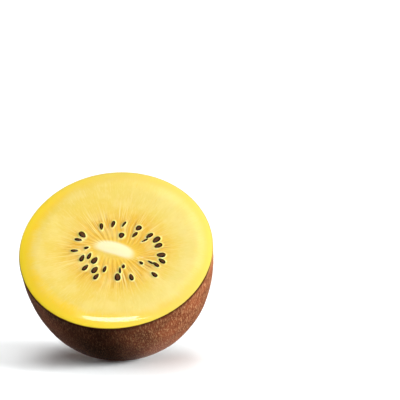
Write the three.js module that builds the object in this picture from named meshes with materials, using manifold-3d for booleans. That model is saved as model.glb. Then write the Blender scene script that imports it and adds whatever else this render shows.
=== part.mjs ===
// Half of a golden kiwi fruit, cut across and lying on its rounded side.
//
// The skin, flesh and core grew as one piece, so they are one solid, and the seeds that
// the knife met are joined to the flesh that they sit in. The fruit's own frame has its
// origin at the middle of the cut face, with +Z out of the face and +X to the right. In
// the exported group +Z is up, and the fruit rests on z = 0 with its cut face to -Y.
import * as THREE from 'three';
import { mergeVertices } from 'three/addons/utils/BufferGeometryUtils.js';
import Module from 'manifold-3d';

// Driving dimensions, in millimetres and degrees. A reach is a place on the cut face
// between the middle of the core, 0, and the skin, 1.
const FACE_RADIUS = 26;
const DEPTH = 35;
const FULLNESS = 2.3;
const UNEVENNESS = 0.006;
const LEAN = 45;
const FLAT_DEPTH = 0.5;

// The stem end: a shallow hollow with the woody scar of the stalk in it
const HOLLOW_RADIUS = 7;
const HOLLOW_DEPTH = 1.3;
const SCAR_RADIUS = 2.2;
const SCAR_HEIGHT = 0.7;

// The cut face's margin, which rounds down to the skin
const MARGIN_START = 0.8;
const MARGIN_DROP = 0.9;

// The core, a little risen, and the oval rings that widen from it to the round rim
const CORE_CENTRE = new THREE.Vector2(-0.35, -0.95);
const CORE_REACH = 0.2;
const CORE_RISE = 0.35;
const CORE_TURN = THREE.MathUtils.degToRad(-12);
const CORE_PINCH = 0.42;
const RING_REACH = 0.4;
const RING_SHIFT = new THREE.Vector2(0.6, -0.4);
const RING_ROUNDNESS = 1.2;

// The seed chambers, anticlockwise from the right. Each has a groove, and its digits say
// how far out the knife met a seed in it, from 0 nearest the core to 9.
const CHAMBERS = '- 6 6 - 35 - 35 - - 25 5 - 5 - - 6 - 6 - 26 - 4 2 5 2 4 6 3 - 5 3 26 - - 39 57 8 7'.split(' ');
const CHAMBER_ANGLE = (2 * Math.PI) / CHAMBERS.length;
const FIRST_CHAMBER = CHAMBER_ANGLE / 4;
const GROOVE_DEPTH = 0.18;
const GROOVE_END = 0.66;
const SEED_REACH = 0.24;
const SEED_REACH_STEP = 0.032;
const SEED_LENGTH = 2.2;
const SEED_WIDTH = 1.25;
const SEED_THICKNESS = 1.1;
const SEED_TAPER = 0.35;
const SEED_SUNK = 0.05;

// How finely the solid is faceted
const STEPS_ROUND = 2 * CHAMBERS.length;
const WALL_STEPS = 14;
const FACE_STEPS = 15;
const SEED_SIDES = 8;
const SEED_RINGS = 5;

const SKIN_COLOUR = new THREE.Color(0.36, 0.2, 0.11);
const SCAR_COLOUR = new THREE.Color(0.2, 0.12, 0.07);
const FLESH_COLOUR = new THREE.Color(0.95, 0.78, 0.24);
const CORE_COLOUR = new THREE.Color(0.98, 0.93, 0.62);
const SEED_COLOUR = new THREE.Color(0.07, 0.04, 0.025);

const wasm = await Module();
wasm.setup();

// A closed three.js geometry as a solid that can be cut and joined.
function solidFrom(geometry) {
  const bare = geometry.clone();
  bare.deleteAttribute('normal');
  bare.deleteAttribute('uv');
  const merged = mergeVertices(bare, 1e-4);
  return new wasm.Manifold(
    new wasm.Mesh({
      numProp: 3,
      vertProperties: merged.attributes.position.array,
      triVerts: new Uint32Array(merged.index.array),
    }),
  );
}

// A smooth rise from 0 at low to 1 at high.
function rise(low, high, x) {
  return THREE.MathUtils.smoothstep(x, low, high);
}

// The nth of many numbers between -1 and 1 that look random, from the golden ratio.
function draw(n, series) {
  const turns = n * series * 0.6180339887;
  return 2 * (turns - Math.floor(turns)) - 1;
}

// Height of the skin at a distance from the fruit's axis, with the hollow and its scar.
function skinHeight(radius) {
  const fall = Math.max(0, 1 - (radius / FACE_RADIUS) ** FULLNESS) ** (1 / FULLNESS);
  const hollow = HOLLOW_DEPTH * (1 - rise(0, HOLLOW_RADIUS, radius));
  const scar = SCAR_HEIGHT * (1 - rise(0.7 * SCAR_RADIUS, SCAR_RADIUS, radius));
  return -MARGIN_DROP - (DEPTH - MARGIN_DROP) * fall + hollow - scar;
}

// A point of the cut face, at a reach and at an angle round the fruit's axis.
function facePoint(reach, angle) {
  const inner = 1 - rise(CORE_REACH, RING_REACH, reach);
  const narrow = reach ** RING_ROUNDNESS * (1 - CORE_PINCH * inner);
  const onOval = new THREE.Vector2(reach * Math.cos(angle), narrow * Math.sin(angle));
  return onOval
    .multiplyScalar(FACE_RADIUS)
    .rotateAround(new THREE.Vector2(), CORE_TURN * inner)
    .addScaledVector(CORE_CENTRE, 1 - reach)
    .addScaledVector(RING_SHIFT, 4 * reach * (1 - reach));
}

// Height of the cut face: the risen core, the chambers' grooves and the low margin.
function faceHeight(reach, angle) {
  const core = CORE_RISE * (1 - rise(0.5 * CORE_REACH, 1.2 * CORE_REACH, reach));
  const grooved = rise(CORE_REACH, SEED_REACH, reach) * (1 - rise(RING_REACH, GROOVE_END, reach));
  const groove = GROOVE_DEPTH * grooved * Math.cos(CHAMBERS.length * (angle - FIRST_CHAMBER));
  const margin = MARGIN_DROP * Math.max(0, (reach - MARGIN_START) / (1 - MARGIN_START)) ** 2;
  return core - groove - margin;
}

// Distances from the axis at which the skin has points: close together round the scar,
// then evenly round the curve out to the rim.
function skinRadii() {
  const atScar = [0, 0.7, 1, 1.25, 1.8].map((share) => share * SCAR_RADIUS);
  const firstTurn = Math.asin((atScar.at(-1) / FACE_RADIUS) ** (FULLNESS / 2));
  const curved = Array.from({ length: WALL_STEPS }, (_, i) => {
    const turn = THREE.MathUtils.lerp(firstTurn, Math.PI / 2, (i + 1) / WALL_STEPS);
    return FACE_RADIUS * Math.sin(turn) ** (2 / FULLNESS);
  });
  return [...atScar, ...curved];
}

// The half fruit without its seeds: an outline turned about the axis, with the rings of
// the cut face then moved to their ovals and the whole made a little uneven.
function bodyGeometry() {
  const skin = skinRadii().map((radius) => new THREE.Vector2(radius, skinHeight(radius)));
  const reaches = Array.from({ length: FACE_STEPS }, (_, i) => 1 - (i + 1) / FACE_STEPS);
  const face = reaches.map((reach) => new THREE.Vector2(FACE_RADIUS * reach, 0));
  const outline = [...skin, ...face];
  const geometry = new THREE.LatheGeometry(outline, STEPS_ROUND, FIRST_CHAMBER);
  geometry.rotateX(Math.PI / 2);

  const position = geometry.attributes.position;
  for (let i = 0; i < position.count; i++) {
    const column = Math.floor(i / outline.length) % STEPS_ROUND;
    const row = i % outline.length;
    const angle = FIRST_CHAMBER + (2 * Math.PI * column) / STEPS_ROUND;
    const uneven = UNEVENNESS * (Math.cos(2 * angle) + 0.6 * Math.cos(3 * angle + 0.8));
    if (row < skin.length) {
      const radius = skin[row].x * (1 + uneven);
      position.setXYZ(i, radius * Math.cos(angle), radius * Math.sin(angle), skin[row].y);
    } else {
      const reach = reaches[row - skin.length];
      const onFace = facePoint(reach, angle).multiplyScalar(1 + uneven * reach);
      position.setXYZ(i, onFace.x, onFace.y, faceHeight(reach, angle));
    }
  }
  return geometry;
}

// The nth seed, with its narrow end towards the core, standing a little out of the face.
function seedGeometry(n, chamber, digit) {
  const angle = FIRST_CHAMBER + chamber * CHAMBER_ANGLE;
  const reach = SEED_REACH + SEED_REACH_STEP * digit;
  const place = facePoint(reach, angle);
  const outward = facePoint(reach + 0.01, angle).sub(place).angle();
  const size = 1 + 0.18 * draw(n, 3);
  const seed = new THREE.SphereGeometry(0.5, SEED_SIDES, SEED_RINGS);
  seed.rotateZ(Math.PI / 2);

  const position = seed.attributes.position;
  for (let i = 0; i < position.count; i++) {
    const width = 1 + SEED_TAPER * position.getX(i);
    position.setY(i, position.getY(i) * width);
    position.setZ(i, position.getZ(i) * width);
  }
  seed.scale(SEED_LENGTH * size, SEED_WIDTH * size * (1 + 0.2 * draw(n, 5)), SEED_THICKNESS * size);
  seed.rotateZ(outward + 0.3 * draw(n, 7));
  seed.translate(place.x, place.y, faceHeight(reach, angle) - SEED_SUNK);
  return seed;
}

// Every seed that the knife met, as solids.
function seedSolids() {
  const met = CHAMBERS.flatMap((digits, chamber) => digits.match(/\d/g)?.map((digit) => [chamber, digit]) ?? []);
  return met.map(([chamber, digit], n) => solidFrom(seedGeometry(n, chamber, Number(digit))));
}

// The space under a level surface at a height, brought into the fruit's own frame.
function spaceBelow(height, toFruit) {
  const size = 4 * FACE_RADIUS;
  const block = new THREE.BoxGeometry(size, size, size);
  block.translate(0, 0, height - size / 2);
  return solidFrom(block.applyMatrix4(toFruit));
}

// The colour of a facet of the solid, from its middle in the fruit's own frame.
function facetColour(middle, isSeed) {
  if (isSeed) return SEED_COLOUR;
  if (middle.z > -MARGIN_DROP) {
    const fromCore = new THREE.Vector2(middle.x, middle.y).sub(CORE_CENTRE);
    const onCore = fromCore.rotateAround(new THREE.Vector2(), -CORE_TURN);
    const narrow = CORE_REACH ** RING_ROUNDNESS * (1 - CORE_PINCH);
    return Math.hypot(onCore.x / CORE_REACH, onCore.y / narrow) < FACE_RADIUS ? CORE_COLOUR : FLESH_COLOUR;
  }
  const atScar = Math.hypot(middle.x, middle.y) < SCAR_RADIUS && middle.z < -DEPTH / 2;
  return atScar ? SCAR_COLOUR : SKIN_COLOUR;
}

// A solid as a three.js geometry with a colour on each facet.
function colouredGeometry(solid, seedIds) {
  const { numProp, vertProperties, triVerts, runIndex, runOriginalID } = solid.getMesh();
  const corners = [];
  const colours = [];
  runOriginalID.forEach((id, run) => {
    for (let i = runIndex[run]; i < runIndex[run + 1]; i += 3) {
      const facet = [...triVerts.slice(i, i + 3)].map((corner) =>
        new THREE.Vector3().fromArray(vertProperties, numProp * corner),
      );
      const middle = new THREE.Triangle(...facet).getMidpoint(new THREE.Vector3());
      const colour = facetColour(middle, seedIds.has(id));
      corners.push(...facet.flatMap((corner) => corner.toArray()));
      colours.push(...facet.flatMap(() => colour.toArray()));
    }
  });
  const geometry = new THREE.BufferGeometry();
  geometry.setAttribute('position', new THREE.Float32BufferAttribute(corners, 3));
  geometry.setAttribute('color', new THREE.Float32BufferAttribute(colours, 3));
  geometry.computeVertexNormals();
  return geometry;
}

const seeds = seedSolids();
const seedIds = new Set(seeds.map((seed) => seed.originalID()));
const uncut = seeds.reduce((body, seed) => body.add(seed), solidFrom(bodyGeometry()));

// The fruit leans back about X, so that its cut face looks up and towards -Y.
const fruit = new THREE.Mesh();
fruit.name = 'kiwi_half';
fruit.rotation.x = THREE.MathUtils.degToRad(LEAN);
fruit.updateMatrix();
const leaning = colouredGeometry(uncut, seedIds).applyMatrix4(fruit.matrix);
leaning.computeBoundingBox();

// It rests on a small flat spot, and the origin is on that surface, under its middle.
const surface = leaning.boundingBox.min.z + FLAT_DEPTH;
const centre = leaning.boundingBox.getCenter(new THREE.Vector3());
const toFruit = fruit.matrix.clone().invert();
fruit.geometry = colouredGeometry(uncut.subtract(spaceBelow(surface, toFruit)), seedIds);
fruit.position.set(-centre.x, -centre.y, -surface);
fruit.material = new THREE.MeshStandardMaterial({
  vertexColors: true,
  roughness: 0.55,
  metalness: 0,
});

const kiwi = new THREE.Group();
kiwi.add(fruit);

export default kiwi;
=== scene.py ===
"""Half of a golden kiwi fruit, dressed for the studio.

The fruit's own frame has its origin at the middle of the cut face, with +Z out of the
face and +X to the right, in millimetres. Each mesh is worked out in that frame, and is
then laid in the model's frame, in metres, leaning back on its rounded side.

A place on the cut face is given by its reach, 0 at the middle of the core and 1 at the
skin, and by its angle round the fruit's axis.
"""
import logging
import math
from dataclasses import dataclass, field
from enum import Enum
from functools import reduce

import bpy
import numpy as np
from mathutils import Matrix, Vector, noise


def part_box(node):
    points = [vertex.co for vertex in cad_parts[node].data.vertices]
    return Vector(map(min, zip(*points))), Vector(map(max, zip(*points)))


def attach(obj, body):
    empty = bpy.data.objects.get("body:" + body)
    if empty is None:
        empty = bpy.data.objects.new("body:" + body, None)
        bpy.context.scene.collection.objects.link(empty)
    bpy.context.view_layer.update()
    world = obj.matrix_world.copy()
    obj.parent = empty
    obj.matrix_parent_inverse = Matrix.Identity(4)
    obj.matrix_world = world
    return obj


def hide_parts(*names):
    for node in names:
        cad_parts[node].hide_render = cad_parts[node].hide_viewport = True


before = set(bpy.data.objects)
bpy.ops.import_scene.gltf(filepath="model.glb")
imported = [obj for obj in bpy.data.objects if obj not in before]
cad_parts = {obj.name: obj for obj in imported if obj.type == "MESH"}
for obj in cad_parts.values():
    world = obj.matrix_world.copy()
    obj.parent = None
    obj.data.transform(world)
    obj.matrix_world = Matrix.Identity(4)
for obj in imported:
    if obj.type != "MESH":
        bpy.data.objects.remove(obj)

LOG = logging.getLogger("kiwi_half")
NODE = "kiwi_half"
BODY = "root"
MM = 0.001
FULL_TURN = 2 * math.pi
GOLDEN = 0.6180339887

# How uneven the fruit is round its axis: two waves as a share of its radius, and a third
UNEVENNESS = 0.006
THIRD_SHARE = 0.6
THIRD_TURN = 0.8

# Room in millimetres between the skin and the model's box, where the down stands
DOWN_ROOM = 0.15

Triple = tuple[float, float, float]
Colour = Triple
Socket = bpy.types.NodeSocket


class Slot(Enum):
    """The record's material slots."""

    FLESH = "flesh"
    SKIN = "skin"
    SEED = "seed"
    SCAR = "scar"


def rise(low: float, high: float, x: np.ndarray | float) -> np.ndarray:
    """A smooth rise from 0 at low to 1 at high.

    Args:
        low: where the rise starts.
        high: where it ends.
        x: the values to read it at.

    Returns:
        The height of the rise at each value.
    """
    t = np.clip((np.asarray(x, float) - low) / (high - low), 0, 1)
    return t * t * (3 - 2 * t)


def draw(n: int, series: int) -> float:
    """The nth of many numbers from -1 to 1 that look random, from the golden ratio.

    Args:
        n: which number of the series.
        series: which series.

    Returns:
        The number.
    """
    steps = n * series * GOLDEN
    return 2 * (steps - math.floor(steps)) - 1


def linear(red: int, green: int, blue: int) -> Colour:
    """A colour as the eye sees it on a screen, brought to linear light.

    Args:
        red: its red, 0 to 255.
        green: its green, 0 to 255.
        blue: its blue, 0 to 255.

    Returns:
        The linear colour.
    """
    shares = [channel / 255 for channel in (red, green, blue)]
    low = 0.04045
    return tuple(s / 12.92 if s <= low else ((s + 0.055) / 1.055) ** 2.4 for s in shares)


@dataclass(frozen=True)
class FruitForm:
    """The half fruit's shape, in millimetres and radians, with the place it lies in.

    The depth runs from the cut to the stem end, and the fullness is the power of that
    outline, 2 for an ellipse. Rings of one reach are pinched and turned into the core's
    oval at the middle, and grow round towards the skin.
    """

    face_radius: float
    top: float
    depth: float = 34.85
    fullness: float = 2.3
    lean: float = math.radians(45)
    margin_start: float = 0.8
    margin_drop: float = 0.9
    skin_thickness: float = 0.17
    hollow_radius: float = 7.0
    hollow_depth: float = 1.3
    wall_extra: float = 0.4
    softness: float = 0.06
    core_centre: tuple[float, float] = (-0.35, -0.95)
    core_reach: float = 0.2
    core_rise: float = 0.12
    core_foot: tuple[float, float] = (0.4, 1.25)
    core_turn: float = math.radians(-12)
    core_pinch: float = 0.42
    ring_reach: float = 0.4
    ring_shift: tuple[float, float] = (0.6, -0.4)
    ring_roundness: float = 1.2

    def uneven(self, angle: np.ndarray | float) -> np.ndarray:
        """How much fuller than a circle the fruit is, as a share, at each angle."""
        return UNEVENNESS * (np.cos(2 * angle) + THIRD_SHARE * np.cos(3 * angle + THIRD_TURN))

    def face_point(self, reach: np.ndarray | float, angle: np.ndarray | float) -> np.ndarray:
        """Places on the cut face.

        Args:
            reach: from 0 at the core's middle to 1 at the skin.
            angle: round the fruit's axis.

        Returns:
            An array with x and y in its last axis.
        """
        inner = 1 - rise(self.core_reach, self.ring_reach, reach)
        across = reach * np.cos(angle)
        up = reach**self.ring_roundness * (1 - self.core_pinch * inner) * np.sin(angle)
        cos, sin = np.cos(self.core_turn * inner), np.sin(self.core_turn * inner)
        shift = 4 * reach * (1 - reach)
        x = self.face_radius * (across * cos - up * sin)
        y = self.face_radius * (across * sin + up * cos)
        x = x + self.core_centre[0] * (1 - reach) + self.ring_shift[0] * shift
        y = y + self.core_centre[1] * (1 - reach) + self.ring_shift[1] * shift
        return np.stack([x, y], -1) * (1 + self.uneven(angle) * reach)[..., None]

    def face_height(self, reach: np.ndarray | float) -> np.ndarray:
        """Height of the cut face without its fine relief: the risen core and the margin.

        Args:
            reach: from 0 at the core's middle to 1 at the skin.

        Returns:
            The heights, 0 on the flat of the face.
        """
        foot, end = (share * self.core_reach for share in self.core_foot)
        core = self.core_rise * (1 - rise(foot, end, reach))
        past = np.maximum(0, (reach - self.margin_start) / (1 - self.margin_start))
        return core - self.margin_drop * past**2

    def skin_point(self, share: np.ndarray | float, inset: float = 0.0) -> tuple[np.ndarray, np.ndarray]:
        """Outline of the rounded side.

        Args:
            share: from 0 at the stem end to 1 at the rim.
            inset: how far inside the outer skin the outline runs.

        Returns:
            The distances from the axis and the heights.
        """
        turn = np.asarray(share, float) * math.pi / 2
        power = 2 / self.fullness
        radius = (self.face_radius - inset) * np.sin(turn) ** power
        height = -self.margin_drop - (self.depth - self.margin_drop - inset) * np.cos(turn) ** power
        hollow = self.hollow_depth * (1 - rise(0, self.hollow_radius, radius))
        return radius, height + hollow

    def wall(self, share: float) -> float:
        """How far inside the outer skin its inner side runs, thin at the rim."""
        return self.skin_thickness + self.wall_extra * (1 - float(rise(0.9, 1.0, share)))

    def ring(self, radius: float, height: float, angles: np.ndarray) -> np.ndarray:
        """Points at one distance from the axis and one height, made a little uneven."""
        wide = radius * (1 + self.uneven(angles))
        return np.stack([wide * np.cos(angles), wide * np.sin(angles), np.full_like(angles, height)], -1)

    def leaned(self, points: np.ndarray) -> np.ndarray:
        """Points of the fruit's own frame, turned so that the fruit leans back.

        Args:
            points: the places, with x, y and z in the last axis.

        Returns:
            The turned places.
        """
        cos, sin = math.cos(self.lean), math.sin(self.lean)
        x, y, z = np.moveaxis(points, -1, 0)
        return np.stack([x, y * cos - z * sin, y * sin + z * cos], -1)

    def place(self) -> np.ndarray:
        """Finds where the middle of the cut face lies, from the outline's top and middle.

        Returns:
            The place in the model's frame, in millimetres.
        """
        angles = turns(240)
        outline = [self.ring(*self.skin_point(share), angles) for share in np.linspace(0.02, 1, 60)]
        leaned = self.leaned(np.concatenate(outline))
        middle = (leaned.min(0) + leaned.max(0)) / 2
        return np.array([-middle[0], -middle[1], self.top - leaned[:, 2].max()])

    def laid(self, points: np.ndarray, lowest: float = 0.0) -> np.ndarray:
        """Points of the fruit's own frame, laid in the model's frame.

        Args:
            points: places in the fruit's own frame, in millimetres.
            lowest: the height above the surface that they are pressed up to.

        Returns:
            The places in the model's frame, in metres.
        """
        lying = self.leaned(points) + self.place()
        over = lying[..., 2] - lowest
        lying[..., 2] = lowest + 0.5 * (over + np.sqrt(over**2 + self.softness**2))
        return lying * MM


class SeedShape(Enum):
    """How the knife met a seed: its length and width on the cut, in millimetres."""

    BIG = (2.95, 1.85)
    ROUND = (2.3, 1.9)
    MIDDLE = (2.75, 1.45)
    NARROW = (2.65, 1.2)
    THIN = (2.4, 0.8)
    SMALL = (1.7, 1.05)


@dataclass(frozen=True)
class SeedPlace:
    """One seed that the knife met, on the cut face, in millimetres and radians."""

    x: float
    y: float
    reach: float
    turn: float
    length: float
    width: float


@dataclass(frozen=True)
class SeedChambers:
    """The seed chambers round the core, anticlockwise from the right.

    Each word of the codes is a chamber. Its digits say how far out the knife met a seed
    in it, from 0 nearest the core to 9. The other three words have a sign for each seed
    in that order: the first letter of its shape, and digits for how far it leans and how
    far it lies to the side of its chamber's line, anticlockwise from 5, which is none.
    """

    codes: str = "- 6 6 - 35 - 35 - - 25 5 - 5 - - 6 - 6 - 26 - 4 2 5 2 4 6 3 - 5 3 26 - - 39 57 8 7"
    shapes: str = "BBTMNRRTNNBNSNMNMBBMNBTSMSMTNMB"
    leans: str = "7815243233465597743435314344326"
    sides: str = "4621654176924555654234224616655"
    first_reach: float = 0.24
    reach_step: float = 0.032
    lean_step: float = math.radians(8)
    side_step: float = 0.2
    size_spread: float = 0.05

    @property
    def count(self) -> int:
        """The number of chambers."""
        return len(self.codes.split())

    @property
    def first_angle(self) -> float:
        """The angle of the first chamber."""
        return FULL_TURN / self.count / 4

    def wall(self, angle: np.ndarray) -> np.ndarray:
        """1 on the walls between chambers, -1 along their middles."""
        return -np.cos(self.count * (angle - self.first_angle))

    def places(self, form: FruitForm) -> list[SeedPlace]:
        """Every seed that the knife met.

        Args:
            form: the fruit whose cut face they lie in.

        Returns:
            The seeds, chamber by chamber.
        """
        met = [(c, int(d)) for c, word in enumerate(self.codes.split()) for d in word if d != "-"]
        kinds = {shape.name[0]: shape for shape in SeedShape}
        seeds = []
        for number, (chamber, digit) in enumerate(met):
            angle = self.first_angle + FULL_TURN * chamber / self.count
            reach = self.first_reach + self.reach_step * digit
            here = form.face_point(reach, angle)
            onward = form.face_point(reach + 0.01, angle) - here
            line = math.atan2(onward[1], onward[0])
            side = self.side_step * (int(self.sides[number]) - 5)
            x, y = here[0] - side * math.sin(line), here[1] + side * math.cos(line)
            turn = line + self.lean_step * (int(self.leans[number]) - 5)
            length, width = kinds[self.shapes[number]].value
            size = 1 + self.size_spread * draw(number, 3)
            seeds.append(SeedPlace(x, y, reach, turn, length * size, width * size))
        return seeds

    def distance(self, form: FruitForm, points: np.ndarray) -> np.ndarray:
        """How far points of the cut face lie from the nearest seed's outline.

        Args:
            form: the fruit.
            points: places on the cut face, with x and y in the last axis.

        Returns:
            The distances in millimetres, below 0 inside a seed.
        """
        nearest = np.full(points.shape[:-1], 99.0)
        for seed in self.places(form):
            cos, sin = math.cos(seed.turn), math.sin(seed.turn)
            x, y = points[..., 0] - seed.x, points[..., 1] - seed.y
            along, across = (x * cos + y * sin) / seed.length, (y * cos - x * sin) / seed.width
            share = 2 * np.hypot(along, across)
            away = np.maximum(np.hypot(x, y), 1e-4)
            nearest = np.minimum(nearest, away - away / np.maximum(share, 1e-6))
        return nearest


def grown(points: np.ndarray, scale: Triple, seed: float) -> np.ndarray:
    """Smooth noise at each point.

    Args:
        points: the places, with x, y and z in the last axis.
        scale: how many bumps of noise there are to a unit, along each axis.
        seed: moves the noise, so that two calls differ.

    Returns:
        Values of about -1 to 1.
    """
    flat = points.reshape(-1, 3) * np.array(scale) + seed
    values = np.array([noise.noise(Vector(p)) for p in flat])
    return values.reshape(points.shape[:-1])


def turns(steps: int) -> np.ndarray:
    """Angles spaced evenly round a full turn."""
    return np.linspace(0, FULL_TURN, steps + 1)[:-1]


def spoke_at(angles: np.ndarray, share: np.ndarray | float) -> np.ndarray:
    """The way right, the way up and the share of points at some angles."""
    return np.stack([np.cos(angles), np.sin(angles), np.full_like(angles, share)], -1)


def strips(rows: int, columns: int, first: int) -> list[tuple[int, ...]]:
    """The faces between rings of points.

    Args:
        rows: how many rings there are.
        columns: how many points a ring has.
        first: the number of the first ring's first point.

    Returns:
        Four-sided faces, ring by ring.
    """
    here = np.arange(columns)
    onward = (here + 1) % columns
    faces = []
    for row in range(rows - 1):
        low, high = first + row * columns, first + (row + 1) * columns
        faces += [(low + a, low + b, high + b, high + a) for a, b in zip(here, onward)]
    return faces


def placed(name: str, data: bpy.types.ID) -> bpy.types.Object:
    """Puts a new object in the scene.

    Args:
        name: its name.
        data: its mesh, light or camera.

    Returns:
        The object.
    """
    thing = bpy.data.objects.new(name, data)
    bpy.context.scene.collection.objects.link(thing)
    return thing


def closed_mesh(name: str, rings: list[np.ndarray], start: np.ndarray, end: np.ndarray) -> bpy.types.Object:
    """A closed smooth mesh through rings of points, with a pole at each end.

    Args:
        name: the piece's name.
        rings: arrays of as many points each.
        start: the pole before the first ring.
        end: the pole after the last ring.

    Returns:
        The object, with its vertices in the order start, rings, end.
    """
    columns = len(rings[0])
    points = np.concatenate([start[None], *rings, end[None]])
    last = len(points) - 1
    here = np.arange(columns)
    onward = (here + 1) % columns
    faces = [(0, 1 + b, 1 + a) for a, b in zip(here, onward)]
    faces += strips(len(rings), columns, 1)
    edge = last - columns
    faces += [(edge + a, edge + b, last) for a, b in zip(here, onward)]
    first, second, third = (points[[face[k] for face in faces]] for k in (0, 1, 2))
    if np.einsum("ij,ij->", first, np.cross(second, third)) < 0:
        faces = [face[::-1] for face in faces]
    mesh = bpy.data.meshes.new(name)
    mesh.from_pydata(points.tolist(), [], faces)
    mesh.shade_smooth()
    mesh.update()
    return placed(name, mesh)


def store(piece: bpy.types.Object, name: str, values: np.ndarray) -> None:
    """Keeps a number or a vector for each vertex, which materials and trees can read.

    Args:
        piece: the mesh object.
        name: the attribute's name.
        values: one number or three for each vertex.
    """
    kind, key = ("FLOAT", "value") if values.ndim == 1 else ("FLOAT_VECTOR", "vector")
    attribute = piece.data.attributes.new(name, kind, "POINT")
    attribute.data.foreach_set(key, values.astype(np.float32).ravel())


def declare(piece: bpy.types.Object) -> None:
    """Makes a piece part of the fruit: it rides on its body and stands for its node.

    Args:
        piece: the finished mesh object.
    """
    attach(piece, BODY)
    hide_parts(NODE)
    LOG.info("%s: %d vertices", piece.name, len(piece.data.vertices))


class Board:
    """A node tree with short calls to add nodes and join them."""

    def __init__(self, tree: bpy.types.NodeTree) -> None:
        """Takes over a tree and clears it."""
        self.tree = tree
        tree.nodes.clear()

    def add(self, kind: str, inputs: dict | None = None, **settings: object) -> bpy.types.Node:
        """Adds a node.

        Args:
            kind: the node's type.
            inputs: its sockets by name or number, each with a value or a socket to join.
            settings: its properties.

        Returns:
            The node.
        """
        node = self.tree.nodes.new(kind)
        for name, value in settings.items():
            setattr(node, name, value)
        for key, value in (inputs or {}).items():
            if isinstance(value, Socket):
                self.tree.links.new(value, node.inputs[key])
            else:
                node.inputs[key].default_value = value
        return node

    def math(self, operation: str, *values: object) -> Socket:
        """Adds a Math node and gives its output."""
        return self.add("ShaderNodeMath", dict(enumerate(values)), operation=operation).outputs[0]

    def product(self, *values: object) -> Socket:
        """Multiplies two or more numbers or sockets."""
        return reduce(lambda first, second: self.math("MULTIPLY", first, second), values)

    def attribute(self, name: str, output: str = "Fac") -> Socket:
        """Reads what was kept for each vertex, in a material."""
        return self.add("ShaderNodeAttribute", attribute_name=name).outputs[output]

    def kept(self, name: str) -> Socket:
        """Reads a vector that was kept for each vertex, in a Geometry Nodes tree."""
        node = self.add("GeometryNodeInputNamedAttribute", {"Name": name}, data_type="FLOAT_VECTOR")
        return node.outputs[0]

    def parts(self, vector: Socket) -> bpy.types.Node:
        """Splits a vector into its outputs X, Y and Z."""
        return self.add("ShaderNodeSeparateXYZ", {0: vector})

    def vector(self, operation: str, first: Socket, second: Socket | None = None, **inputs: Socket) -> Socket:
        """Adds a Vector Math node and gives its output.

        Args:
            operation: what it does.
            first: the first vector.
            second: the second vector, if it takes one.
            inputs: its other sockets by name.

        Returns:
            The vector that comes out.
        """
        sockets = {0: first, **inputs} if second is None else {0: first, 1: second, **inputs}
        return self.add("ShaderNodeVectorMath", sockets, operation=operation).outputs[0]

    def bump(self, shader: bpy.types.Node, height: Socket, strength: float, depth: float) -> None:
        """Gives a shader fine relief.

        Args:
            shader: the Principled shader.
            height: the relief.
            strength: how much of it shows, 0 to 1.
            depth: how high it is, in millimetres.
        """
        inputs = {"Strength": strength, "Distance": depth * MM, "Height": height}
        self.tree.links.new(self.add("ShaderNodeBump", inputs).outputs[0], shader.inputs["Normal"])

    def ramp(self, low: float, high: float, value: Socket) -> Socket:
        """A smooth rise from 0 where the value is low to 1 where it is high."""
        inputs = {"Value": value, "From Min": low, "From Max": high}
        return self.add("ShaderNodeMapRange", inputs, interpolation_type="SMOOTHSTEP").outputs[0]

    def mix(self, share: object, first: object, second: object, blend: str = "MIX") -> Socket:
        """Mixes two colours.

        Args:
            share: how much of the second there is, a number or a socket.
            first: a colour or a socket.
            second: a colour or a socket.
            blend: how the second goes over the first.

        Returns:
            The mixed colour.
        """
        node = self.add("ShaderNodeMix", {0: share}, data_type="RGBA", blend_type=blend)
        for key, value in ((6, first), (7, second)):
            if isinstance(value, Socket):
                self.tree.links.new(value, node.inputs[key])
            else:
                node.inputs[key].default_value = (*value, 1)
        return node.outputs[2]


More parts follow.
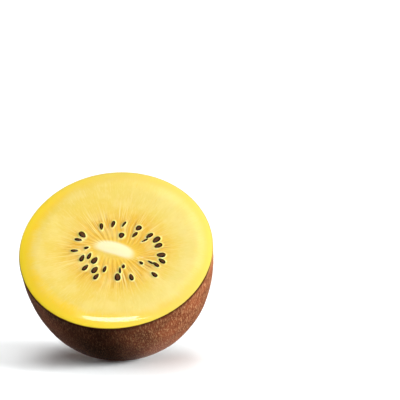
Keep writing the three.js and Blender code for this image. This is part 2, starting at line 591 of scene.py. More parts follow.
@dataclass(frozen=True)
class NoiseGroup:
    """A shader group for stretched grain, which every finish here uses.

    Its Mask rises from 0 to 1 where the noise passes a threshold, and its Height is the
    bare noise.
    """

    name: str = "stretched_grain"

    def tree(self) -> bpy.types.NodeTree:
        """Builds the group, or finds it where it was built before.

        Returns:
            The group.
        """
        made = bpy.data.node_groups.get(self.name)
        if made:
            return made
        group = bpy.data.node_groups.new(self.name, "ShaderNodeTree")
        board = Board(group)
        sockets = group.interface
        sockets.new_socket("Vector", in_out="INPUT", socket_type="NodeSocketVector")
        for name in ("Stretch", "Detail", "Threshold", "Softness"):
            kind = "NodeSocketVector" if name == "Stretch" else "NodeSocketFloat"
            sockets.new_socket(name, in_out="INPUT", socket_type=kind)
        for name in ("Mask", "Height"):
            sockets.new_socket(name, in_out="OUTPUT", socket_type="NodeSocketFloat")
        given = board.add("NodeGroupInput")
        stretched = board.vector("MULTIPLY", given.outputs["Vector"], given.outputs["Stretch"])
        grain = board.add(
            "ShaderNodeTexNoise",
            {"Vector": stretched, "Scale": 1.0, "Detail": given.outputs["Detail"]},
        )
        high = board.math("ADD", given.outputs["Threshold"], given.outputs["Softness"])
        mask = board.add(
            "ShaderNodeMapRange",
            {"Value": grain.outputs["Fac"], "From Min": given.outputs["Threshold"], "From Max": high},
            interpolation_type="SMOOTHSTEP",
        )
        board.add("NodeGroupOutput", {"Mask": mask.outputs[0], "Height": grain.outputs["Fac"]})
        return group

    def on(
        self,
        board: Board,
        vector: Socket,
        stretch: Triple,
        threshold: float,
        softness: float,
        detail: float = 2.0,
    ) -> bpy.types.Node:
        """Places the group in a material.

        Args:
            board: the material's nodes.
            vector: the coordinates that the grain follows.
            stretch: how many grains there are to a unit, along each axis.
            threshold: the noise above which the mask rises.
            softness: how much further it takes to reach 1.
            detail: how many finer octaves the noise has.

        Returns:
            The group's node, with its outputs Mask and Height.
        """
        node = board.add("ShaderNodeGroup", node_tree=self.tree())
        board.tree.links.new(vector, node.inputs["Vector"])
        for name, value in (
            ("Stretch", stretch),
            ("Threshold", threshold),
            ("Softness", softness),
            ("Detail", detail),
        ):
            node.inputs[name].default_value = value
        return node


@dataclass(frozen=True)
class Finish:
    """What every finish has: a name and the shader's constant values."""

    name: str
    constants: dict[str, object] = field(default_factory=dict)

    def start(self) -> tuple[bpy.types.Material, Board, bpy.types.Node]:
        """A new material with its shader.

        Returns:
            The material, its nodes and its Principled shader.
        """
        material = bpy.data.materials.new(self.name)
        material.use_nodes = True
        board = Board(material.node_tree)
        shader = board.add("ShaderNodeBsdfPrincipled", self.constants)
        board.add("ShaderNodeOutputMaterial", {"Surface": shader.outputs[0]})
        return material, board, shader


@dataclass(frozen=True)
class FleshFinish(Finish):
    """Moist golden flesh with a cream core, pale rays and a deeper margin, whose colour carries painted light
    on its left and painted shade on its right.
    """

    by_core: Colour = linear(214, 178, 56)
    by_seeds: Colour = linear(210, 164, 48)
    middle: Colour = linear(212, 182, 76)
    outer_left: Colour = linear(212, 186, 84)
    outer_right: Colour = linear(213, 194, 108)
    # Margin and edge colours: orange on the left and painted lighter, lemon on the right and painted darker,
    # so the curved rim looks evenly lit under lamps that reach its left less than its right
    margin_left_orange_painted_light: Colour = linear(238, 200, 46)
    margin_right_lemon_painted_shade: Colour = linear(207, 180, 84)
    edge_left_orange_painted_light: Colour = linear(246, 214, 46)
    edge_right_lemon_painted_shade: Colour = linear(208, 184, 82)
    core: Colour = linear(222, 214, 170)
    ray: Colour = linear(222, 206, 132)
    dash: Colour = linear(160, 96, 26)
    halo: Colour = linear(224, 206, 132)
    margin_shift: float = 0.025

    def base(self, board: Board, spoke: bpy.types.Node) -> Socket:
        """The flesh's colour from the core to the skin, without rays or seeds.

        Args:
            board: the material's nodes.
            spoke: the node that gives each point's way right and up, and its reach.

        Returns:
            The colour.
        """
        rightward, upward, reach = spoke.outputs["X"], spoke.outputs["Y"], spoke.outputs["Z"]
        colour = board.mix(board.ramp(0.2, 0.32, reach), self.by_core, self.by_seeds)
        colour = board.mix(board.ramp(0.4, 0.62, reach), colour, self.middle)
        outer = board.mix(board.ramp(-0.6, 0.9, rightward), self.outer_left, self.outer_right)
        colour = board.mix(board.ramp(0.55, 0.75, reach), colour, outer)
        # Share from the left rim to the upper right: it turns the margin from orange to lemon, and it carries
        # the painted light (lighter on the left) and painted shade (darker on the right)
        aslant = board.math("MULTIPLY_ADD", upward, 0.5, rightward)
        lemon_and_painted_light_share = board.ramp(-1.0, 0.6, aslant)
        margin = board.mix(lemon_and_painted_light_share, self.margin_left_orange_painted_light, self.margin_right_lemon_painted_shade)
        edge = board.mix(lemon_and_painted_light_share, self.edge_left_orange_painted_light, self.edge_right_lemon_painted_shade)
        later = board.product(board.math("ADD", rightward, upward), self.margin_shift)
        start = board.math("SUBTRACT", reach, later)
        colour = board.mix(board.ramp(0.83, 0.94, start), colour, margin)
        return board.mix(board.ramp(0.9, 0.99, reach), colour, edge)

    def rayed(self, board: Board, colour: Socket, reach: Socket) -> Socket:
        """Pale rays and golden-brown dashes over the flesh's colour.

        Args:
            board: the material's nodes.
            colour: the flesh's colour.
            reach: the reach of each point.

        Returns:
            The colour with rays.
        """
        grain = NoiseGroup()
        spoke = board.attribute("spoke", "Vector")
        tufts = grain.on(board, spoke, (5, 5, 1), 0.3, 0.4)
        length = board.math("ADD", board.product(tufts.outputs["Mask"], -0.22), reach)
        fading = board.ramp(0.62, 0.2, length)
        near = board.product(board.ramp(0.26, 0.4, reach), fading)
        broad = grain.on(board, spoke, (15, 15, 1.5), 0.42, 0.3)
        colour = board.mix(board.product(broad.outputs["Mask"], near, 0.6), colour, self.by_seeds)
        dashes = grain.on(board, spoke, (26, 26, 6), 0.5, 0.16)
        bunches = grain.on(board, spoke, (2.6, 2.6, 1), 0.42, 0.2)
        band = board.product(board.ramp(0.3, 0.36, reach), board.ramp(0.6, 0.44, reach))
        brown = board.product(dashes.outputs["Mask"], bunches.outputs["Mask"], band, 0.75)
        colour = board.mix(brown, colour, self.dash)
        fine = grain.on(board, spoke, (36, 36, 2.2), 0.52, 0.12)
        return board.mix(board.product(fine.outputs["Mask"], near, 0.9), colour, self.ray)

    def grained(self, board: Board, colour: Socket, cells: bpy.types.Node) -> Socket:
        """Soft clouds, short pale streaks and the flesh's fine cells over its colour.

        Args:
            board: the material's nodes.
            colour: the flesh's colour.
            cells: the grain of its cells.

        Returns:
            The colour with its texture.
        """
        grain = NoiseGroup()
        place = board.add("ShaderNodeTexCoord").outputs["Object"]
        spoke = board.attribute("spoke", "Vector")
        reach = board.parts(spoke).outputs["Z"]
        inside = board.ramp(0.97, 0.84, reach)
        clouds = grain.on(board, place, (190, 190, 190), 0.42, 0.3)
        streaks = grain.on(board, spoke, (44, 44, 9), 0.46, 0.3)
        deep = grain.on(board, spoke, (50, 50, 14), 0.56, 0.2)
        for mask, share, shade in (
            (clouds.outputs["Mask"], 0.4, self.ray),
            (streaks.outputs["Mask"], 0.24, self.ray),
            (deep.outputs["Mask"], 0.3, self.by_core),
            (cells.outputs["Mask"], 0.22, self.halo),
        ):
            colour = board.mix(board.product(mask, inside, share), colour, shade)
        return colour

    def material(self) -> bpy.types.Material:
        """Builds the material.

        Returns:
            The material.
        """
        material, board, shader = self.start()
        grain = NoiseGroup()
        spoke = board.attribute("spoke", "Vector")
        parts = board.parts(spoke)
        colour = self.rayed(board, self.base(board, parts), parts.outputs["Z"])
        cells = grain.on(board, spoke, (60, 60, 24), 0.5, 0.2, 3.0)
        colour = self.grained(board, colour, cells)
        core = board.attribute("core")
        colour = board.mix(board.ramp(0.0, 0.95, core), colour, self.core)
        halo = board.attribute("halo")
        colour = board.mix(board.product(halo, 0.45), colour, self.halo)
        board.tree.links.new(colour, shader.inputs["Base Color"])
        board.bump(shader, cells.outputs["Height"], strength=0.2, depth=0.04)
        return material


@dataclass(frozen=True)
class SkinFinish(Finish):
    """Thin brown skin with a fine grain that runs from the stem end to the rim.

    Its cut edge and the skin just under it are dark below and golden above, and the golden edge is the
    narrower. The dark below is painted shade under the flesh's overhanging rim.
    """

    deep: Colour = linear(104, 54, 32)
    warm: Colour = linear(154, 81, 49)
    tan: Colour = linear(220, 166, 118)
    # Dark brown of the lower cut edge: painted shade under the rim
    edge_low_painted_shade: Colour = linear(70, 38, 18)
    edge_high: Colour = linear(206, 176, 84)
    edge_narrowing: float = 4.0

    def material(self) -> bpy.types.Material:
        """Builds the material.

        Returns:
            The material.
        """
        material, board, shader = self.start()
        grain = NoiseGroup()
        spoke = board.attribute("spoke", "Vector")
        place = board.add("ShaderNodeTexCoord").outputs["Object"]
        patches = grain.on(board, place, (120, 120, 120), 0.3, 0.4, 3.0)
        colour = board.mix(patches.outputs["Mask"], self.deep, self.warm)
        strokes = grain.on(board, spoke, (96, 96, 44), 0.5, 0.16, 3.0)
        colour = board.mix(board.product(strokes.outputs["Mask"], 0.6), colour, self.tan)
        pores = grain.on(board, place, (2600, 2600, 2600), 0.6, 0.1)
        colour = board.mix(board.product(pores.outputs["Mask"], 0.5), colour, self.tan)
        # The cut edge and the band just under it: golden where the rim faces up, and dark where it faces
        # down, which is painted shade under the flesh's overhanging rim
        cut = board.attribute("cut")
        high = board.ramp(-0.35, 0.15, board.parts(spoke).outputs["Y"])
        narrowed = board.math("POWER", cut, board.math("MULTIPLY_ADD", high, self.edge_narrowing, 1.0))
        colour = board.mix(narrowed, colour, board.mix(high, self.edge_low_painted_shade, self.edge_high))
        board.tree.links.new(colour, shader.inputs["Base Color"])
        board.bump(shader, strokes.outputs["Height"], strength=0.5, depth=0.08)
        return material


@dataclass(frozen=True)
class MottledFinish(Finish):
    """A finish of two colours in soft grains, with a third, a painted highlight, where a piece keeps its
    middle.

    The small pieces have it: the seeds, their jelly, the down, the specks and the scar.
    """

    first: Colour = (0.5, 0.5, 0.5)
    second: Colour = (0.5, 0.5, 0.5)
    grains: Triple = (900, 900, 900)
    # A lighter colour over each piece's middle: a painted highlight where a glossy seed's crown would catch
    # the light
    middle: Colour | None = None

    def material(self) -> bpy.types.Material:
        """Builds the material.

        Returns:
            The material.
        """
        material, board, shader = self.start()
        place = board.add("ShaderNodeTexCoord").outputs["Object"]
        mottle = NoiseGroup().on(board, place, self.grains, 0.4, 0.2)
        colour = board.mix(mottle.outputs["Mask"], self.first, self.second)
        # Paints the highlight colour over the piece's middle
        if self.middle:
            middle = board.attribute("middle")
            colour = board.mix(middle, colour, self.middle)
        board.tree.links.new(colour, shader.inputs["Base Color"])
        board.bump(shader, mottle.outputs["Height"], strength=0.3, depth=0.04)
        return material


FLESH = FleshFinish(
    "moist_golden_flesh",
    {
        "Roughness": 0.4,
        "Specular IOR Level": 0.25,
        "Subsurface Weight": 0.35,
        "Subsurface Radius": (1.0, 0.65, 0.2),
        "Subsurface Scale": 1.0 * MM,
        "Coat Weight": 0.8,
        "Coat Roughness": 0.06,
    },
)
SKIN = SkinFinish(
    "brown_skin",
    {
        "Roughness": 0.62,
        "Specular IOR Level": 0.12,
        "Sheen Weight": 0.16,
        "Sheen Roughness": 0.3,
        "Sheen Tint": (0.9, 0.76, 0.72, 1),
    },
)
SEED = MottledFinish(
    "dark_seed",
    {"Roughness": 0.35, "Specular IOR Level": 0.12},
    first=linear(16, 5, 2),
    second=linear(30, 12, 6),
    grains=(700, 700, 700),
    # Lighter brown in each seed's middle: a painted highlight
    middle=linear(98, 60, 28),
)
JELLY = MottledFinish(
    "pale_seed_jelly",
    {"Roughness": 0.25, "Subsurface Weight": 0.4, "Subsurface Scale": 0.6 * MM, "Coat Weight": 0.4},
    first=linear(224, 196, 96),
    second=linear(236, 216, 136),
    grains=(500, 500, 500),
)
DOWN = MottledFinish(
    "tan_down",
    {"Roughness": 0.7},
    first=linear(150, 96, 62),
    second=linear(210, 160, 116),
    grains=(300, 300, 300),
)
SPECK = MottledFinish(
    "tan_speck",
    {"Roughness": 0.8},
    first=linear(120, 74, 44),
    second=linear(170, 118, 78),
    grains=(300, 300, 300),
)
SCAR = MottledFinish(
    "woody_scar",
    {"Roughness": 0.85},
    first=linear(36, 22, 14),
    second=linear(92, 62, 40),
    grains=(1200, 1200, 1200),
)


@dataclass(frozen=True)
class Flesh:
    """The golden flesh with its cut face, as one closed body inside the skin."""

    form: FruitForm
    chambers: SeedChambers
    steps_round: int = 456
    face_rows: int = 150
    wall_rows: int = 12
    gap: float = 0.02
    groove: float = 0.022
    fibre: float = 0.01
    fibre_grain: Triple = (26, 26, 7)
    lip: float = 0.035
    lip_place: float = 0.12
    lip_width: float = 0.2
    halo_place: float = 0.1
    halo_width: float = 0.22
    behind_skin: float = 0.2
    core_half_length: float = 6.4
    core_half_width: float = 2.35
    core_arch: float = 0.75
    core_tilt: float = math.radians(-18.5)
    core_squareness: float = 2.5
    core_fade: tuple[float, float] = (0.5, 1.15)

    def face_ring(self, reach: float, angles: np.ndarray) -> tuple[np.ndarray, ...]:
        """One ring of the cut face.

        Args:
            reach: the ring's reach.
            angles: the angles of its points.

        Returns:
            Its points, and for each point its spoke, core share and halo share.
        """
        reaches = np.full_like(angles, reach)
        flat = self.form.face_point(reaches, angles)
        inset = (self.form.skin_thickness + self.gap) / self.form.face_radius
        flat = flat * (1 - inset * reach)
        spoke = spoke_at(angles, reach)
        near = self.chambers.distance(self.form, flat)
        grooved = rise(0.2, 0.28, reach) * (1 - rise(0.4, 0.62, reach))
        fibred = rise(0.16, 0.3, reach) * (1 - rise(0.5, 0.7, reach))
        height = self.form.face_height(reaches)
        height += self.groove * grooved * self.chambers.wall(angles)
        height += self.fibre * fibred * grown(spoke, self.fibre_grain, 3.1)
        height += self.lip * np.exp(-((near - self.lip_place) / self.lip_width) ** 2)
        core = self.core_share(flat)
        halo = np.exp(-((near - self.halo_place) / self.halo_width) ** 2)
        return np.concatenate([flat, height[:, None]], -1), spoke, core, halo

    def core_share(self, flat: np.ndarray) -> np.ndarray:
        """How much of each point is cream core, from a bent oval with a soft edge.

        Args:
            flat: places on the cut face, with x and y in the last axis.

        Returns:
            1 in the core, falling to 0 round it.
        """
        cos, sin = math.cos(self.core_tilt), math.sin(self.core_tilt)
        x, y = flat[:, 0] - self.form.core_centre[0], flat[:, 1] - self.form.core_centre[1]
        along, across = (x * cos + y * sin) / self.core_half_length, y * cos - x * sin
        bent = (across - self.core_arch * (1 - along**2)) / self.core_half_width
        power = self.core_squareness
        share = (np.abs(along) ** power + np.abs(bent) ** power) ** (1 / power)
        return 1 - rise(*self.core_fade, share)

    def build(self) -> bpy.types.Object:
        """Builds the flesh and dresses it.

        Returns:
            The piece.
        """
        angles = turns(self.steps_round)
        reaches = np.linspace(0, 1, self.face_rows + 1)
        rows = [self.face_ring(reach, angles) for reach in reaches]
        rings, spokes, cores, halos = (list(column) for column in zip(*rows))
        for share in np.linspace(1, 0, self.wall_rows + 2)[1:-1]:
            inset = self.form.wall(share) + self.behind_skin
            rings.append(self.form.ring(*self.form.skin_point(share, inset), angles))
            spokes.append(spokes[-1])
            cores.append(np.zeros_like(angles))
            halos.append(np.zeros_like(angles))
        bottom = np.array([0, 0, float(self.form.skin_point(0, inset)[1])])
        points = [self.form.laid(ring, inset) for ring in rings]
        piece = closed_mesh("flesh", points[1:], points[0][0], self.form.laid(bottom, inset))
        for name, columns in (("spoke", spokes), ("core", cores), ("halo", halos)):
            values = np.concatenate([columns[0][:1], *columns[1:], columns[-1][:1]])
            store(piece, name, values)
        piece.data.materials.append(FLESH.material())
        declare(piece)
        return piece


@dataclass(frozen=True)
class Skin:
    """The thin brown skin as a closed shell, with the cut edge that shows at the rim."""

    form: FruitForm
    steps_round: int = 480
    rows: int = 130
    inner_rows: int = 16
    wrinkle: float = 0.035
    wrinkle_grain: Triple = (60, 60, 22)
    swell: float = 0.12
    swell_grain: Triple = (0.16, 0.16, 0.16)
    inward: float = 0.1
    pucker: float = 0.125
    folds: int = 9
    lip: float = 0.03

    def outer_ring(self, share: float, angles: np.ndarray) -> np.ndarray:
        """One ring of the outer skin, with its fine wrinkles.

        Args:
            share: from 0 at the stem end to 1 at the rim.
            angles: the angles of its points.

        Returns:
            The points in the fruit's own frame.
        """
        radius, height = (float(value) for value in self.form.skin_point(share))
        ring = self.form.ring(radius, height, angles)
        spoke = spoke_at(angles, share)
        fine = grown(spoke * max(share, 0.15), self.wrinkle_grain, 1.7) * self.wrinkle
        broad = grown(ring, self.swell_grain, 5.3) * self.swell
        folded = rise(0.0, 0.08, share) * (1 - rise(0.1, 0.3, share))
        pucker = self.pucker * folded * np.cos(self.folds * angles + 1.5 * np.sin(2 * angles))
        below_rim = 1 - rise(0.97, 1.0, share)
        move = ((fine + broad - self.inward) * below_rim + pucker)[:, None]
        outward = ring - np.array([0, 0, -0.4 * self.form.depth])
        return ring + move * outward / np.linalg.norm(outward, axis=1)[:, None]

    def build(self) -> bpy.types.Object:
        """Builds the skin and dresses it.

        Returns:
            The piece.
        """
        angles = turns(self.steps_round)
        form = self.form
        shares = np.linspace(0, 1, self.rows + 1)[1:]
        rings = [form.laid(self.outer_ring(share, angles)) for share in shares]
        cuts = [np.full_like(angles, rise(0.985, 1.0, share)) for share in shares]
        rim_radius, rim_height = (float(value) for value in form.skin_point(1))
        for step in (0.25, 0.5, 0.75):
            turn = step * math.pi
            radius = rim_radius - form.skin_thickness * 0.5 * (1 - math.cos(turn))
            height = rim_height + self.lip * math.sin(turn)
            rings.append(form.laid(form.ring(radius, height, angles)))
            cuts.append(np.ones_like(angles))
        for share in np.linspace(1, 0, self.inner_rows + 1)[:-1]:
            inner = form.ring(*form.skin_point(share, form.wall(share)), angles)
            rings.append(form.laid(inner, form.wall(share)))
            cuts.append(np.ones_like(angles))
        outer_pole = np.array([0, 0, float(form.skin_point(0)[1])])
        inner_pole = np.array([0, 0, float(form.skin_point(0, form.wall(0))[1])])
        piece = closed_mesh("skin", rings, form.laid(outer_pole), form.laid(inner_pole))
        spokes = [spoke_at(angles, share) for share in shares]
        spokes += [spokes[-1]] * (len(rings) - len(spokes))
        store(piece, "spoke", np.concatenate([spokes[0][:1], *spokes, spokes[-1][:1]]))
        store(piece, "cut", np.concatenate([cuts[0][:1], *cuts, cuts[-1][:1]]))
        piece.data.materials.append(SKIN.material())
        declare(piece)
        return piece

    def ground(self, steps_round: int = 160, rows: int = 60) -> bpy.types.Object:
        """The outer skin as an open mesh that the down and the specks are grown on.

        Args:
            steps_round: its points round the fruit.
            rows: its rings from the stem end to the rim.

        Returns:
            A mesh object whose attribute "comb" points along the skin to the rim.
        """
        angles = turns(steps_round)
        shares = np.linspace(0.1, 0.985, rows)
        rings = [self.form.laid(self.outer_ring(share, angles)) for share in shares]
        points = np.concatenate(rings)
        mesh = bpy.data.meshes.new("ground")
        mesh.from_pydata(points.tolist(), [], strips(rows, steps_round, 0))
        mesh.update()
        ground = placed("ground", mesh)
        stacked = points.reshape(rows, steps_round, 3)
        comb = np.gradient(stacked, axis=0).reshape(-1, 3)
        store(ground, "comb", comb / np.linalg.norm(comb, axis=1)[:, None])
        return ground


class Tree:
    """A Geometry Nodes tree with named inputs, run once on an object."""

    def __init__(self, name: str, inputs: dict[str, float | int], material: bpy.types.Material) -> None:
        """Starts the tree.

        Args:
            name: the tree's name.
            inputs: its inputs by name, a whole number for a count or a seed.
            material: what its result is made of.
        """
        self.group = bpy.data.node_groups.new(name, "GeometryNodeTree")
        self.board = Board(self.group)
        self.values = inputs
        self.material = material
        sockets = self.group.interface
        sockets.new_socket("Geometry", in_out="INPUT", socket_type="NodeSocketGeometry")
        self.identifiers = {}
        for key, value in inputs.items():
            kind = "NodeSocketInt" if isinstance(value, int) else "NodeSocketFloat"
            socket = sockets.new_socket(key, in_out="INPUT", socket_type=kind)
            self.identifiers[key] = socket.identifier
        sockets.new_socket("Geometry", in_out="OUTPUT", socket_type="NodeSocketGeometry")
        self.given = self.board.add("NodeGroupInput")

    def value(self, name: str) -> Socket:
        """One of the tree's inputs."""
        return self.given.outputs[name]

    def finish(self, points: Socket, thing: Socket, rotation: Socket, scale: Socket) -> None:
        """Puts a thing on each point and ends the tree with real meshes of its material.

        Args:
            points: where the things go.
            thing: what stands there.
            rotation: how each is turned.
            scale: how large each is.
        """
        instances = self.board.add(
            "GeometryNodeInstanceOnPoints",
            {"Points": points, "Instance": thing, "Rotation": rotation, "Scale": scale},
        )
        real = self.board.add("GeometryNodeRealizeInstances", {0: instances.outputs[0]})
        smooth = self.board.add("GeometryNodeSetShadeSmooth", {0: real.outputs[0]})
        dressed = self.board.add("GeometryNodeSetMaterial", {0: smooth.outputs[0]})
        dressed.inputs["Material"].default_value = self.material
        self.board.add("NodeGroupOutput", {0: dressed.outputs[0]})

    def grow(self, name: str, carrier: bpy.types.Object) -> bpy.types.Object:
        """Runs the tree on a carrier and keeps the result as a plain mesh.

        Args:
            name: the new piece's name.
            carrier: the object that the tree starts from, which is then removed.

        Returns:
            The new piece.
        """
        modifier = carrier.modifiers.new(self.group.name, "NODES")
        modifier.node_group = self.group
        for key, value in self.values.items():
            modifier[self.identifiers[key]] = value
        graph = bpy.context.evaluated_depsgraph_get()
        mesh = bpy.data.meshes.new_from_object(carrier.evaluated_get(graph))
        carrier.modifiers.remove(modifier)
        old = carrier.data
        bpy.data.objects.remove(carrier)
        bpy.data.meshes.remove(old)
        mesh.name = name
        return placed(name, mesh)


@dataclass(frozen=True)
class Seeds:
    """The seeds on the cut face, or the pale jelly that shows as a ring round each."""

    form: FruitForm
    chambers: SeedChambers
    name: str
    finish: MottledFinish
    slot: Slot
    margin: float = 0.0
    thickness: float = 0.8
    sunk: float = 0.12
    taper: float = 0.5
    columns: int = 28
    rings: int = 16
    painted_highlight_share: float = 0.6
    painted_highlight_depth: tuple[float, float] = (0.3, 0.75)

    def carrier(self) -> bpy.types.Object:
        """A mesh with one vertex for each seed, its turn and its size.

        Returns:
            The mesh object, which the tree starts from.
        """
        seeds = self.chambers.places(self.form)
        places = []
        sizes = []
        for seed in seeds:
            height = float(self.form.face_height(np.array(seed.reach))) - self.sunk
            places.append((seed.x, seed.y, height))
            sizes.append((seed.length + 2 * self.margin, seed.width + 2 * self.margin, self.thickness))
        mesh = bpy.data.meshes.new("seed_places")
        mesh.from_pydata(places, [], [])
        carrier = placed("seed_places", mesh)
        store(carrier, "size", np.array(sizes))
        store(carrier, "turn", np.array([(0, 0, seed.turn) for seed in seeds]))
        return carrier

    def tree(self) -> Tree:
        """Builds the tree that puts a tapered seed on each place.

        Returns:
            The tree.
        """
        inputs = {"Taper": self.taper, "Columns": self.columns, "Rings": self.rings}
        tree = Tree(f"{self.name}_tree", inputs, self.finish.material())
        board = tree.board
        ball = board.add(
            "GeometryNodeMeshUVSphere",
            {"Segments": tree.value("Columns"), "Rings": tree.value("Rings"), "Radius": 0.5},
        )
        lying = board.add(
            "GeometryNodeTransform",
            {"Geometry": ball.outputs[0], "Rotation": (0, math.pi / 2, 0)},
        )
        along = board.parts(board.add("GeometryNodeInputPosition").outputs[0])
        x = along.outputs["X"]
        width = board.math("ADD", board.product(x, tree.value("Taper")), 1.0)
        tapered = board.add(
            "ShaderNodeCombineXYZ",
            {0: x, 1: board.product(along.outputs["Y"], width), 2: board.product(along.outputs["Z"], width)},
        )
        seed = board.add(
            "GeometryNodeSetPosition",
            {"Geometry": lying.outputs[0], "Position": tapered.outputs[0]},
        )
        points = board.add("GeometryNodeMeshToPoints", {"Mesh": tree.value("Geometry")})
        tree.finish(points.outputs[0], seed.outputs[0], board.kept("turn"), board.kept("size"))
        return tree

    def build(self) -> bpy.types.Object:
        """Builds the seeds in the fruit's own frame and lays them in the model's.

        Returns:
            The piece.
        """
        piece = self.tree().grow(self.name, self.carrier())
        points = np.zeros(3 * len(piece.data.vertices), np.float32)
        piece.data.vertices.foreach_get("co", points)
        points = points.reshape(-1, 3).astype(float)
        near = self.chambers.distance(self.form, points[:, :2])
        # Marks each seed's middle, where the painted highlight goes
        store(piece, "middle", self.painted_highlight_share * rise(*self.painted_highlight_depth, -near))
        piece.data.vertices.foreach_set("co", self.form.laid(points).astype(np.float32).ravel())
        piece.data.update()
        declare(piece)
        return piece


@dataclass(frozen=True)
class SkinGrowth:
    """What is spread over the skin: short down, or small raised specks.

    Lengths are in millimetres. The lift is how steeply they stand, and the tangle how far
    they stray from the comb.
    """

    skin: Skin
    name: str
    finish: MottledFinish
    per_square_mm: float
    length: float
    thickness: float
    lift: float
    tangle: float
    lowest: float = 0.7
    least: float = 0.5
    most: float = 1.3
    sides: int = 3
    seed: int = 1

    def tree(self) -> Tree:
        """Builds the tree that spreads small cones over the skin, combed towards the rim.

        Returns:
            The tree.
        """
        inputs = {
            "Density": self.per_square_mm / MM**2,
            "Length": self.length * MM,
            "Thickness": self.thickness * MM,
            "Lift": self.lift,
            "Tangle": self.tangle,
            "Lowest": self.lowest * MM,
            "Sides": self.sides,
            "Seed": self.seed,
        }
        tree = Tree(f"{self.name}_tree", inputs, self.finish.material())
        board = tree.board
        height = board.parts(board.add("GeometryNodeInputPosition").outputs[0])
        spread = board.add(
            "GeometryNodeDistributePointsOnFaces",
            {
                "Mesh": tree.value("Geometry"),
                "Selection": board.math("GREATER_THAN", height.outputs["Z"], tree.value("Lowest")),
                "Density": tree.value("Density"),
                "Seed": tree.value("Seed"),
            },
        )
        lifted = board.vector("SCALE", spread.outputs["Normal"], Scale=tree.value("Lift"))
        random = board.add(
            "FunctionNodeRandomValue",
            {0: (-1, -1, -1), 1: (1, 1, 1), "Seed": tree.value("Seed")},
            data_type="FLOAT_VECTOR",
        )
        tangled = board.vector("SCALE", random.outputs[0], Scale=tree.value("Tangle"))
        way = board.vector("ADD", board.vector("ADD", board.kept("comb"), lifted), tangled)
        turned = board.add("FunctionNodeAlignRotationToVector", {"Vector": way}, axis="Z")
        radius = board.product(tree.value("Thickness"), 0.5)
        cone = board.add(
            "GeometryNodeMeshCone",
            {"Vertices": tree.value("Sides"), "Radius Bottom": radius, "Depth": tree.value("Length")},
            fill_type="TRIANGLE_FAN",
        )
        share = board.add(
            "FunctionNodeRandomValue",
            {2: self.least, 3: self.most, "Seed": tree.value("Seed")},
            data_type="FLOAT",
        )
        tree.finish(spread.outputs["Points"], cone.outputs[0], turned.outputs[0], share.outputs[1])
        return tree

    def build(self) -> bpy.types.Object:
        """Grows it on the skin and dresses it.

        Returns:
            The piece.
        """
        piece = self.tree().grow(self.name, self.skin.ground())
        declare(piece)
        return piece


@dataclass(frozen=True)
class StemScar:
    """The dry woody scar of the stalk, in the hollow at the stem end."""

    form: FruitForm
    radius: float = 2.2
    height: float = 0.6
    dip: float = 0.35
    rim_sink: float = 0.25
    root: float = 1.2
    split: float = 0.07
    splits: int = 17
    roughness: float = 0.09
    rough_grain: Triple = (7, 7, 3)
    steps_round: int = 72
    rows: int = 14

    def ring(self, share: float, angles: np.ndarray) -> np.ndarray:
        """One ring of the scar.

        Args:
            share: from 0 at its middle to 1 where it sinks into the skin.
            angles: the angles of its points.

        Returns:
            The points in the fruit's own frame.
        """
        wobble = 1 + 0.07 * np.cos(5 * angles) + 0.04 * np.cos(11 * angles + 1)
        crown = self.height * (1 - rise(0.6, 1.0, share)) - self.dip * (1 - rise(0.15, 0.55, share))
        split = self.split * np.cos(self.splits * angles + 4 * share) * rise(0.1, 0.5, share)
        depth = float(self.form.skin_point(0)[1])
        rough = self.roughness * grown(spoke_at(angles, share) * max(share, 0.1), self.rough_grain, 8.2)
        height = depth - crown - split - rough + self.rim_sink * float(rise(0.85, 1.0, share))
        wide = self.radius * share * wobble
        return np.stack([wide * np.cos(angles), wide * np.sin(angles), height], -1)

    def build(self) -> bpy.types.Object:
        """Builds the scar and dresses it.

        Returns:
            The piece.
        """
        angles = turns(self.steps_round)
        depth = float(self.form.skin_point(0)[1])
        rings = [self.form.laid(self.ring(share, angles)) for share in np.linspace(0.08, 1, self.rows)]
        middle = self.form.laid(np.array([0, 0, depth - self.height + self.dip]))
        root = self.form.laid(np.array([0, 0, depth + self.root]))
        piece = closed_mesh("stem_scar", rings, middle, root)
        piece.data.materials.append(SCAR.material())
        declare(piece)
        return piece


@dataclass(frozen=True)
class Lamp:
    """A broad far light. Its azimuth is 0 at the front and grows to the right."""

    name: str
    azimuth: float
    elevation: float
    strength: float
    breadth: float = math.radians(36)

    def way(self) -> Vector:
        """The direction in which it stands.

        Returns:
            A vector of length 1.
        """
        turn, height = math.radians(self.azimuth), math.radians(self.elevation)
        level = math.cos(height)
        return Vector((math.sin(turn) * level, -math.cos(turn) * level, math.sin(height)))


@dataclass(frozen=True)
class Panel:
    """An oval light close by, with its middle and its size on their plane, in millimetres.

    Its radiance is how bright it looks, where the white surface is 1.
    """

    name: str
    middle: tuple[float, float]
    size: tuple[float, float]
    radiance: float


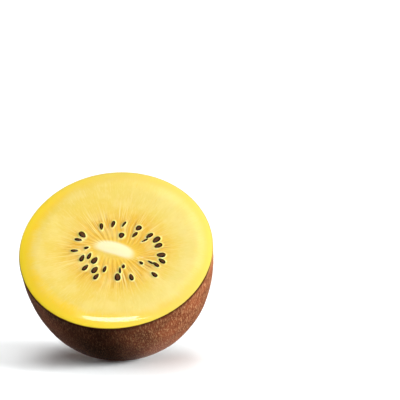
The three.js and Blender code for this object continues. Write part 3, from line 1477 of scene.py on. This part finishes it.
@dataclass(frozen=True)
class Studio:
    """The white surface, the soft light from above and the camera."""

    form: FruitForm
    azimuth: float = math.radians(7.55)
    elevation: float = math.radians(9.52)
    distance: float = 900.0
    lens: float = 304.9
    frame_pixels: float = 400.0
    face_pixel_x: float = 115.4
    face_pixel_y: float = 247.6
    floor_half: float = 12.0
    lamps: tuple[Lamp, ...] = (
        Lamp("front", 0, 45, 0.51),
        Lamp("top", 0, 90, 0.36),
        Lamp("right", 82, 16, 2.2, math.radians(26)),
        Lamp("left", -110, 5, 0.62),
        Lamp("back", 180, 60, 0.2),
    )
    panel_way: Triple = (-0.13, -0.52, 0.84)
    panel_distance: float = 600.0
    panels: tuple[Panel, ...] = (
        Panel("highlight", (12, -22), (160, 78), 12),
        Panel("highlight_base", (46, -54), (250, 22), 8),
        Panel("highlight_tail", (92, -58), (140, 24), 6),
    )

    def floor(self) -> None:
        """The white surface."""
        half = self.floor_half
        mesh = bpy.data.meshes.new("floor")
        corners = [(-half, -half, 0), (half, -half, 0), (half, half, 0), (-half, half, 0)]
        mesh.from_pydata(corners, [], [(0, 1, 2, 3)])
        floor = placed("floor", mesh)
        finish = Finish("white_surface", {"Base Color": (0.905, 0.925, 0.93, 1), "Roughness": 0.9})
        mesh.materials.append(finish.start()[0])
        floor.visible_diffuse = False
        floor.visible_glossy = False

    def world(self, strength: float = 0.05) -> None:
        """A dim white room, so that no shadow is quite black.

        Args:
            strength: how bright the room is.
        """
        world = bpy.data.worlds.new("white_room")
        world.use_nodes = True
        background = world.node_tree.nodes["Background"]
        background.inputs["Color"].default_value = (1, 1, 1, 1)
        background.inputs["Strength"].default_value = strength
        bpy.context.scene.world = world

    def lamp(self, lamp: Lamp) -> None:
        """Sets up a broad far light, which lights but isn't mirrored in the moist flesh.

        Args:
            lamp: where it stands and how strong it is.
        """
        light = bpy.data.lights.new(lamp.name, "SUN")
        light.energy = lamp.strength * math.pi
        light.angle = lamp.breadth
        stand = placed(lamp.name, light)
        stand.rotation_euler = (-lamp.way()).to_track_quat("-Z", "Y").to_euler()
        stand.visible_glossy = False

    def panel(self, panel: Panel) -> None:
        """Sets up a soft light that only shows as a mirrored streak on the moist margin.

        Args:
            panel: its place, size and radiance.
        """
        light = bpy.data.lights.new(panel.name, "AREA")
        light.shape = "ELLIPSE"
        light.size, light.size_y = (length * MM for length in panel.size)
        light.energy = panel.radiance * math.pi * light.size * light.size_y
        stand = placed(panel.name, light)
        way = Vector(self.panel_way).normalized()
        turn = (-way).to_track_quat("-Z", "Y")
        beside = turn @ Vector((*panel.middle, 0)) * MM
        stand.location = self.aim() + way * self.panel_distance * MM + beside
        stand.rotation_euler = turn.to_euler()
        stand.visible_camera = False
        stand.visible_diffuse = False

    def aim(self) -> Vector:
        """The middle of the cut face in the model's frame, in metres."""
        return Vector(self.form.place() * MM)

    def camera(self) -> None:
        """The camera, turned so that the cut face's middle falls where the photo has it."""
        data = bpy.data.cameras.new("camera")
        data.lens = self.lens
        data.clip_start, data.clip_end = 0.01, 200
        focal = self.frame_pixels * self.lens / data.sensor_width
        across = (self.face_pixel_x - self.frame_pixels / 2) / focal
        down = (self.face_pixel_y - self.frame_pixels / 2) / focal
        length = math.sqrt(1 + across**2 + down**2)
        turn = math.asin(across / length / math.cos(self.elevation))
        level = math.cos(self.elevation) * math.cos(turn)
        pitch = math.atan(-down) - math.atan2(-math.sin(self.elevation), level)
        camera = placed("camera", data)
        back = Vector(
            (
                math.sin(self.azimuth) * math.cos(self.elevation),
                -math.cos(self.azimuth) * math.cos(self.elevation),
                math.sin(self.elevation),
            )
        )
        camera.location = self.aim() + back * self.distance * MM
        camera.rotation_euler = (math.pi / 2 - pitch, 0, self.azimuth + turn)
        bpy.context.scene.camera = camera

    def build(self) -> None:
        """Sets everything up."""
        self.floor()
        self.world()
        for lamp in self.lamps:
            self.lamp(lamp)
        for panel in self.panels:
            self.panel(panel)
        self.camera()
        bpy.context.scene.view_settings.view_transform = "Standard"


def main() -> None:
    """Builds the fruit piece by piece and sets up the studio."""
    logging.basicConfig(level=logging.INFO, format="%(name)s %(message)s")
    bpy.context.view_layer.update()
    low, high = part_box(NODE)
    widest = 1 + UNEVENNESS * (1 + THIRD_SHARE * math.cos(THIRD_TURN))
    face_radius = (high.x - low.x) / MM / 2 / widest - DOWN_ROOM
    form = FruitForm(face_radius, top=high.z / MM - DOWN_ROOM)
    chambers = SeedChambers()
    Studio(form).build()
    skin = Skin(form)
    skin.build()
    Flesh(form, chambers).build()
    jelly = {"margin": 0.12, "thickness": 0.3, "sunk": 0.0}
    Seeds(form, chambers, "seed_jelly", JELLY, Slot.FLESH, **jelly).build()
    Seeds(form, chambers, "seeds", SEED, Slot.SEED).build()
    for growth in (
        SkinGrowth(
            skin,
            "down",
            DOWN,
            per_square_mm=4.6,
            length=0.4,
            thickness=0.04,
            lift=0.09,
            tangle=0.2,
            seed=4,
        ),
        SkinGrowth(
            skin,
            "specks",
            SPECK,
            per_square_mm=0.4,
            length=0.05,
            thickness=0.3,
            lift=60.0,
            tangle=1.0,
            sides=7,
            seed=9,
        ),
    ):
        growth.build()
    StemScar(form).build()


if __name__ == "__main__":
    main()
